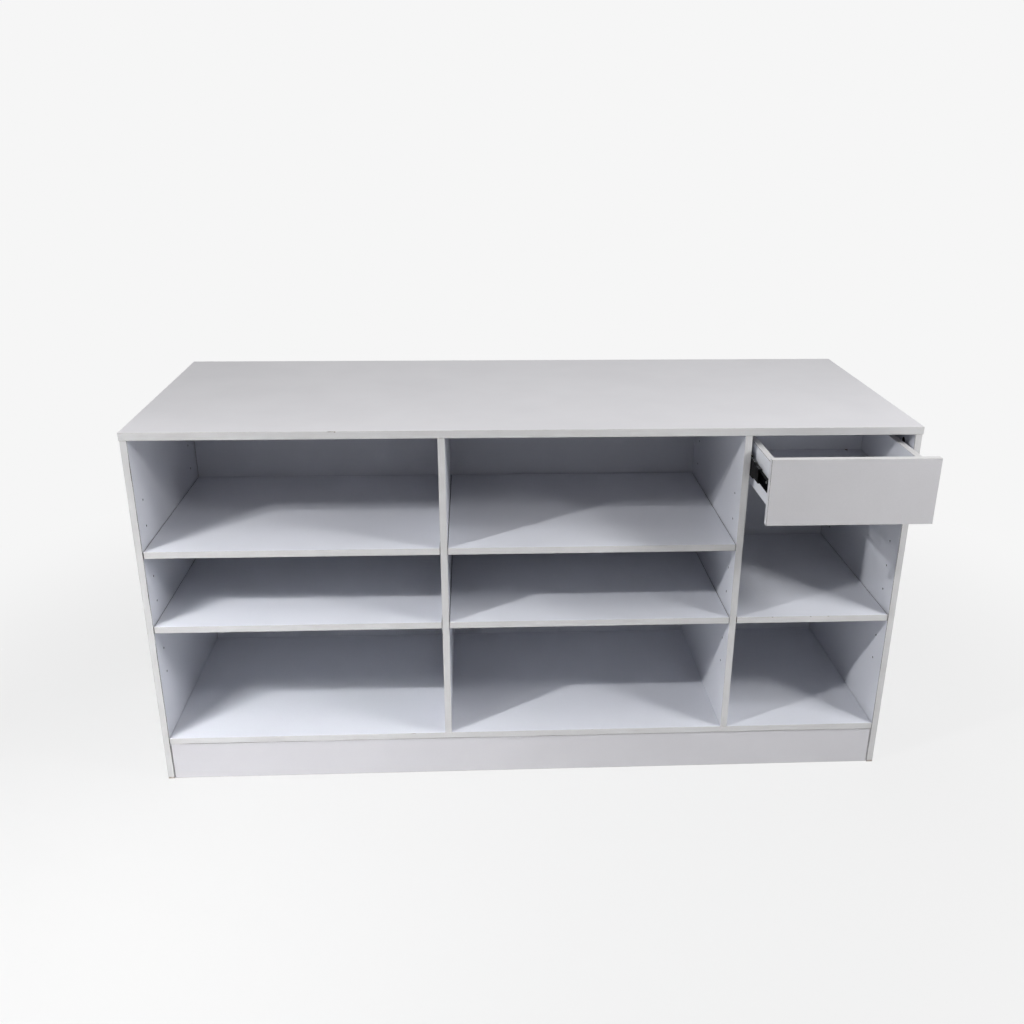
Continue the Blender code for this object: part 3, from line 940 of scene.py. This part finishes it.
@dataclass
class Carcass:
    """Worktop, gables, dividers, base, back, plinth and braces, with the cams and their cover discs."""

    disc_diameter: float = 0.0165
    disc_thickness: float = 0.00025
    disc_facets: int = 32
    worn_arris: float = 0.0006
    open_cam: str = "cam_gable_right_front"

    def dress_boards(self) -> None:
        """Finishes and lips every board of the carcass."""
        all_round = (Side.FRONT, Side.BACK, Side.LEFT, Side.RIGHT)
        Board("top_panel", WORKTOP_PAINTED_LIGHT_BOARD, all_round).dress()
        for name, trims in (("gable_left", (NEAT, WIDE_DARK_TRIM)), ("gable_right", (DARK_TRIM_AND_PAINTED_SHADOW, NEAT))):
            Board(name, COOL_BOARD, (Side.FRONT, Side.BACK), {Side.FRONT: trims}).dress()
        for name in ("divider_left", "divider_right"):
            Board(name, COOL_BOARD, (Side.FRONT,)).dress()
        # The dark lower trim of the base's front lipping is painted shadow: the thin shadow under that
        # edge, above the plinth
        Board("base_panel", COOL_BOARD, (Side.FRONT,), {Side.FRONT: (DARK_TRIM_AND_PAINTED_SHADOW, NEAT)}).dress()
        for name, face in (("plinth", PLINTH_PAINTED_SHADE_BOARD), ("back_panel", COOL_BOARD)):
            Board(name, face, arris=self.worn_arris, chipped_arris=True).dress()
        for name in ("plinth_brace_left", "plinth_brace_right"):
            Board(name).dress()

    def dress_cams(self) -> None:
        """Gives the cams their metal and covers all but one with a white disc."""
        for name in frame["nodes"]:
            if name.startswith("cam_"):
                node = finish_node(name, CAST_ZINC)
                if name != self.open_cam:
                    self.cover_cam(name)

    def cover_cam(self, name: str) -> None:
        """Sticks a thin white disc over a cam.

        Args:
            name: The cam's node.
        """
        low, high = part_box(name)
        panel_low, panel_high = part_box(name.removeprefix("cam_").rsplit("_", 1)[0])
        on_high_face = abs(high.x - panel_high.x) < abs(low.x - panel_low.x)
        face_x = panel_high.x if on_high_face else panel_low.x
        out = Vector((1 if on_high_face else -1, 0, 0))
        radius = self.disc_diameter / 2
        rim = self.disc_thickness
        centre = Vector((face_x, (low.y + high.y) / 2, low.z + (high.y - low.y) / 2))
        shape = bmesh.new()
        profile = [(0, 0), (radius, 0), (radius, rim / 2), (radius - rim, rim), (0, rim)]
        add_turned(shape, profile, centre, out, self.disc_facets)
        disc = f"cover_disc_{name.removeprefix('cam_')}"
        make_piece(disc, shape, (COOL_BOARD,), Body.CARCASS)

    def build(self) -> None:
        """Dresses the whole carcass."""
        self.dress_boards()
        self.dress_cams()


@dataclass
class ShelfSet:
    """The five loose shelves and the pins under them."""

    names: tuple[str, ...] = ("left_upper", "left_lower", "middle_upper", "middle_lower", "right")
    pin_edge: float = 0.0003

    def build(self) -> None:
        """Dresses the shelves and their pins."""
        # The sawn ends are covered in chipboard in painted shade, which darkens the gaps beside the
        # shelves
        ends = {Side.LEFT: SHADED_SAWN_END, Side.RIGHT: SHADED_SAWN_END}
        for name in self.names:
            trims = {side: (SHADED_SAWN_TRIM, SHADED_SAWN_TRIM) for side in ends}
            Board(f"shelf_{name}", COOL_BOARD, (Side.FRONT, *ends), trims, ends).dress()
        for name in frame["nodes"]:
            if name.startswith("pin_"):
                node = finish_node(name, NICKEL)
                soften_edges(node, self.pin_edge)


@dataclass
class DrawerBox:
    """The drawer's front, sides, back and bottom."""

    bottom_arris: float = 0.0009

    def build(self) -> None:
        """Dresses and lips the boards of the drawer."""
        all_round = (Side.TOP, Side.BOTTOM, Side.LEFT, Side.RIGHT)
        ends = {Side.LEFT: WHITE_STRIP, Side.RIGHT: WHITE_STRIP}
        end_trims = {Side.LEFT: (SCUFFED, NEAT), Side.RIGHT: (SCUFFED, NEAT)}
        Board("drawer_front", DRAWER_FRONT_PAINTED_SHADE_BOARD, all_round, end_trims, ends, Body.DRAWER).dress()
        trims = {"side_left": (SCUFFED, NEAT), "side_right": (NEAT, SCUFFED), "back": (NEAT, NEAT)}
        for name, pair in trims.items():
            Board(f"drawer_{name}", DRAWER_BOARD, (Side.TOP,), {Side.TOP: pair}, body=Body.DRAWER).dress()
        Board("drawer_bottom", DRAWER_BOARD, body=Body.DRAWER,
              arris=self.bottom_arris, chipped_arris=True).dress()


@dataclass
class SlidePair:
    """The two ball-bearing slides: black channels, screws, ladder strips and cages of balls."""

    channel_edge: float = 0.0002
    least_fold_degrees: float = 50.0
    screw_from_end: float = 0.040
    pan_head_diameter: float = 0.0066
    pan_head_height: float = 0.0021
    # Rings of the domed head from its seat up, as shares of its radius and height
    pan_head_rings: tuple[Pair, ...] = (
        (0, 0), (1, 0), (1, 0.4), (0.86, 0.78), (0.6, 1), (0, 1))
    flat_head_diameter: float = 0.0041
    flat_head_rise: float = 0.0001
    shank_share: float = 0.6
    web_thickness: float = 0.0012
    recess_length: float = 0.0032
    recess_width: float = 0.0008
    recess_depth: float = 0.0012
    outer_ball: float = 0.0038
    inner_ball: float = 0.0034
    cage_sheet: float = 0.0004
    cage_clearance: float = 0.0003
    window_share: float = 0.25
    balls_per_row: int = 16
    ball_subdivisions: int = 2
    ball_finish: int = 1
    rail_width: float = 0.0007
    rung_share: float = 0.42
    strip_length: float = 0.022
    strip_thickness: float = 0.0002
    strip_inset: float = 0.0008
    strip_rung: float = 0.0026
    strip_rungs: int = 4

    def dress_channels(self) -> None:
        """Gives the six channels their black plating."""
        for member in Member:
            for hand in Hand:
                node = finish_node(f"slide_{member}_{hand}", BLACK_ZINC)
                soften_edges(node, self.channel_edge, self.least_fold_degrees)

    def cut(self, piece: Object, cutter: BMesh) -> None:
        """Cuts a shape out of a piece and keeps the result as its mesh.

        Args:
            piece: The object that is cut.
            cutter: The closed shape to take away, which is used up.
        """
        tool = add_object("cutter", cutter)
        step = piece.modifiers.new("cut", "BOOLEAN")
        step.solver = "EXACT"
        step.object = tool
        view = bpy.context.evaluated_depsgraph_get()
        piece.data = bpy.data.meshes.new_from_object(piece.evaluated_get(view))
        piece.modifiers.remove(step)
        bpy.data.objects.remove(tool)

    def add_cross(self, shape: BMesh, middle: Vector, out: Vector) -> None:
        """Adds a prism with a plus-shaped section to a bmesh.

        Args:
            shape: The bmesh that gets the prism.
            middle: The prism's centre.
            out: The way that it runs.
        """
        turn = UP.rotation_difference(out).to_matrix()
        far, near = self.recess_length / 2, self.recess_width / 2
        quarter = [(far, near), (near, near), (near, far)]
        outline = []
        for _ in range(4):
            outline.extend(quarter)
            quarter = [(-y, x) for x, y in quarter]
        rims = [[shape.verts.new(middle + turn @ Vector((x, y, height))) for x, y in outline]
                for height in (-self.recess_depth, self.recess_depth)]
        close_prism(shape, rims)
        bmesh.ops.recalc_face_normals(shape, faces=shape.faces)

    def build_screws(self) -> None:
        """Makes the screws: countersunk heads in the cabinet channels, domed ones in the drawer's."""
        dome, sunk = self.pan_head_diameter / 2, self.flat_head_diameter / 2
        rise, web = self.flat_head_rise, self.web_thickness
        flat_head = [(0, -web), (self.shank_share * sunk, -web), (sunk, -rise), (sunk, 0), (0, rise)]
        pan_head = [(across * dome, up * self.pan_head_height) for across, up in self.pan_head_rings]
        for hand in Hand:
            for member, body, profile, way in (
                    (Member.CABINET, Body.CARCASS, flat_head, hand.into_bay),
                    (Member.DRAWER, Body.DRAWER, pan_head, -hand.into_bay)):
                low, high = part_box(f"slide_{member}_{hand}")
                out = Vector((way, 0, 0))
                seat_x = (low.x if way > 0 else high.x) + way * web
                for place, y in (("front", low.y + self.screw_from_end),
                                 ("rear", high.y - self.screw_from_end)):
                    seat = Vector((seat_x, y, (low.z + high.z) / 2))
                    shape, cross = bmesh.new(), bmesh.new()
                    add_turned(shape, profile, seat, out)
                    name = f"screw_{member}_{hand}_{place}"
                    head = make_piece(name, shape, (SCREW_ZINC,), body)
                    self.add_cross(cross, seat + out * max(height for _, height in profile), out)
                    self.cut(head, cross)

    def build_cage(self, kind: Race, hand: Hand, ball: float, body: Body) -> None:
        """A ball cage: a folded ladder of thin steel with a ball in every gap.

        Args:
            kind: Which gap between the channels it runs in.
            hand: The left or right slide.
            ball: The balls' diameter.
            body: The body that carries it.
        """
        node = f"slide_{kind}_cage_{hand}"
        low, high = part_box(node)
        into_bay = hand.into_bay
        web_x = low.x if into_bay == 1 else high.x
        row_x = (high.x - ball / 2) if into_bay == 1 else (low.x + ball / 2)
        edge_x = row_x + into_bay * (ball / 2 - self.cage_clearance)
        sheet = self.cage_sheet
        pitch = (high.y - low.y) / self.balls_per_row
        shape = bmesh.new()
        rows = (low.z + ball / 2, high.z - ball / 2)
        add_block(shape, (web_x, low.y, rows[0]), (web_x + into_bay * sheet, high.y, rows[1]))
        for row in rows:
            for rail_x, rail_end in ((web_x, row_x - into_bay * (ball / 2 - self.window_share * ball)),
                                     (edge_x - into_bay * self.rail_width, edge_x)):
                add_block(shape, (rail_x, low.y, row - sheet / 2), (rail_end, high.y, row + sheet / 2))
            for count in range(self.balls_per_row):
                middle = low.y + pitch * (count + 0.5)
                for rung_y in (middle - pitch / 2, middle + pitch / 2 - pitch * self.rung_share / 2):
                    rung_end = rung_y + pitch * self.rung_share / 2
                    add_block(shape, (web_x, rung_y, row - sheet / 2), (edge_x, rung_end, row + sheet / 2))
                sphere = bmesh.ops.create_icosphere(
                    shape, subdivisions=self.ball_subdivisions, radius=ball / 2,
                    matrix=Matrix.Translation((row_x, middle, row)))
                for face in {face for corner in sphere["verts"] for face in corner.link_faces}:
                    face.material_index = self.ball_finish
                    face.smooth = True
        cage = make_piece(f"ball_cage_{kind}_{hand}", shape, (SHADED_RETAINER, BRIGHT_ZINC), body)
        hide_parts(node)

    def build_strip(self, hand: Hand) -> None:
        """The pressed ladder on top of a middle channel's front end, which stops the balls.

        Args:
            hand: The left or right slide.
        """
        low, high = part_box(f"slide_middle_{hand}")
        near, far = low.x + self.strip_inset, high.x - self.strip_inset
        base, crest = high.z, high.z + self.strip_thickness
        start, stop = low.y + self.strip_inset, low.y + self.strip_length
        shape = bmesh.new()
        for rail in (near, far - self.rail_width):
            add_block(shape, (rail, start, base), (rail + self.rail_width, stop, crest))
        pitch = (stop - start - self.strip_rung) / (self.strip_rungs - 1)
        for count in range(self.strip_rungs):
            rung = start + pitch * count
            add_block(shape, (near, rung, base), (far, rung + self.strip_rung, crest))
        make_piece(f"ball_stop_strip_{hand}", shape, (STOP_STRIP,), Body.MIDDLES)

    def build(self) -> None:
        """Dresses the channels and makes the screws, strips and cages."""
        self.dress_channels()
        self.build_screws()
        for hand in Hand:
            self.build_strip(hand)
            self.build_cage(Race.OUTER, hand, self.outer_ball, Body.OUTER_CAGES)
            self.build_cage(Race.INNER, hand, self.inner_ball, Body.INNER_CAGES)


@dataclass
class PhotoCamera:
    """A camera where the photo was taken from, with its aim, lens and framing."""

    place: Point = (-0.12114, -2.54426, 1.5681)
    yaw: float = 0.05635
    pitch: float = 0.39258
    roll: float = 0.00818
    focal_px: float = 1057.608
    centre_px: Pair = (531.096, 543.742)

    def build(self) -> None:
        """Adds the camera and makes it the scene's own."""
        ahead = Vector((math.sin(self.yaw) * math.cos(self.pitch),
                        math.cos(self.yaw) * math.cos(self.pitch), -math.sin(self.pitch)))
        level = Vector((math.cos(self.yaw), -math.sin(self.yaw), 0))
        upright = level.cross(ahead)
        right = math.cos(self.roll) * level + math.sin(self.roll) * upright
        up = -math.sin(self.roll) * level + math.cos(self.roll) * upright
        data = bpy.data.cameras.new("photo_camera")
        data.sensor_width = SENSOR_MM
        data.lens = self.focal_px * SENSOR_MM / IMAGE_SIZE_PX
        data.shift_x = (IMAGE_SIZE_PX / 2 - self.centre_px[0]) / IMAGE_SIZE_PX
        data.shift_y = (self.centre_px[1] - IMAGE_SIZE_PX / 2) / IMAGE_SIZE_PX
        camera = bpy.data.objects.new("photo_camera", data)
        turn = Matrix((right, up, -ahead)).transposed().to_4x4()
        camera.matrix_world = Matrix.Translation(self.place) @ turn
        bpy.context.scene.collection.objects.link(camera)
        bpy.context.scene.camera = camera


@dataclass(frozen=True)
class Lamp:
    """A square lamp that faces a point: a bare bulb, a soft box or a gridded reflector."""

    name: str
    place: Point
    aim: Point
    size: float
    watts: float
    beam_degrees: float = 180.0
    # A smaller lamp stays out of reflections, where it would burn a white patch into the satin worktop
    mirrored_from: float = 1.0

    def build(self) -> None:
        """Adds the lamp, itself out of the picture."""
        data = bpy.data.lights.new(self.name, "AREA")
        data.shape = "SQUARE"
        data.size = self.size
        data.energy = self.watts
        data.spread = math.radians(self.beam_degrees)
        lamp = bpy.data.objects.new(self.name, data)
        lamp.location = self.place
        lamp.rotation_euler = (Vector(self.aim) - Vector(self.place)).to_track_quat("-Z", "Y").to_euler()
        lamp.visible_camera = False
        lamp.visible_glossy = self.size >= self.mirrored_from
        bpy.context.scene.collection.objects.link(lamp)


@dataclass
class Studio:
    """The pale floor, the soft lamps and the even light all round."""

    floor_half: float = 30.0
    floor_drop: float = 0.0003
    backdrop: str = "#F6F6F6"
    air: str = "#FFFFFF"
    air_strength: float = 0.01
    lamps: tuple[Lamp, ...] = (
        Lamp("near_lamp_left", (-1.7, -1.34, 1.8), COUNTER_MIDDLE, 0.08, 11.2),
        Lamp("far_lamp_left", LEFT_STAND, COUNTER_MIDDLE, 0.1, 17.3),
        Lamp("gridded_lamp_left", LEFT_STAND, (-0.5, -1.2, 0.0), 0.1, 8.2, 60.0),
        Lamp("low_spot_left", (-1.9, -2.1, 2.4), (-0.9, -0.6, 0.0), 0.35, 2.0, 36.0),
        Lamp("near_box_right", (1.77, -1.25, 1.69), COUNTER_MIDDLE, 0.3, 17.7),
        Lamp("side_box_right", (2.4, -1.2, 2.6), COUNTER_MIDDLE, 0.6, 26.9),
        Lamp("overhead_sheet", (0.0, 0.4, 3.0), (0.0, 0.4, 0.0), 2.0, 17.2),
        Lamp("front_sheet", (0.0, -0.6, 2.6), (0.0, -0.2, 0.0), 1.2, 5.3),
        Lamp("rear_box", (0.0, 3.2, 0.45), (0.0, 0.4, 0.45), 0.7, 60.0),
    )

    def build_floor(self) -> None:
        """The sheet of paper that the counter stands on."""
        shape = bmesh.new()
        bmesh.ops.create_grid(shape, x_segments=1, y_segments=1, size=self.floor_half,
                              matrix=Matrix.Translation((0, 0, -self.floor_drop)))
        floor = add_object("floor", shape, (StudioPaper(),))

    def build_air(self) -> None:
        """Dim even light for the object, and the pale backdrop for the camera and for reflections."""
        world = bpy.data.worlds.new("studio")
        tree = empty_tree(world)
        dim = add_node(tree, "Background", {"Color": linear(self.air), "Strength": self.air_strength})
        pale = add_node(tree, "Background", {"Color": linear(self.backdrop)})
        _, seen = light_paths(tree)
        mix = add_node(tree, "MixShader", links={FACTOR: seen, 1: dim, 2: pale})
        add_node(tree, "OutputWorld", links={"Surface": mix})
        bpy.context.scene.world = world

    def build(self) -> None:
        """Sets up floor, lamps, air and the plain view transform."""
        self.build_floor()
        self.build_air()
        for lamp in self.lamps:
            lamp.build()
        bpy.context.scene.view_settings.view_transform = "Standard"


def main() -> None:
    """Builds the studio and dresses the counter, one sub-assembly after another."""
    logging.basicConfig(level=logging.INFO, format="%(message)s")
    for stock in list(bpy.data.objects):
        if stock.type in {"LIGHT", "CAMERA"} or stock.name == "Cube":
            bpy.data.objects.remove(stock)
    PhotoCamera().build()
    Studio().build()
    for assembly in (Carcass(), ShelfSet(), DrawerBox(), SlidePair(), WearMarks()):
        assembly.build()


if __name__ == "__main__":
    main()
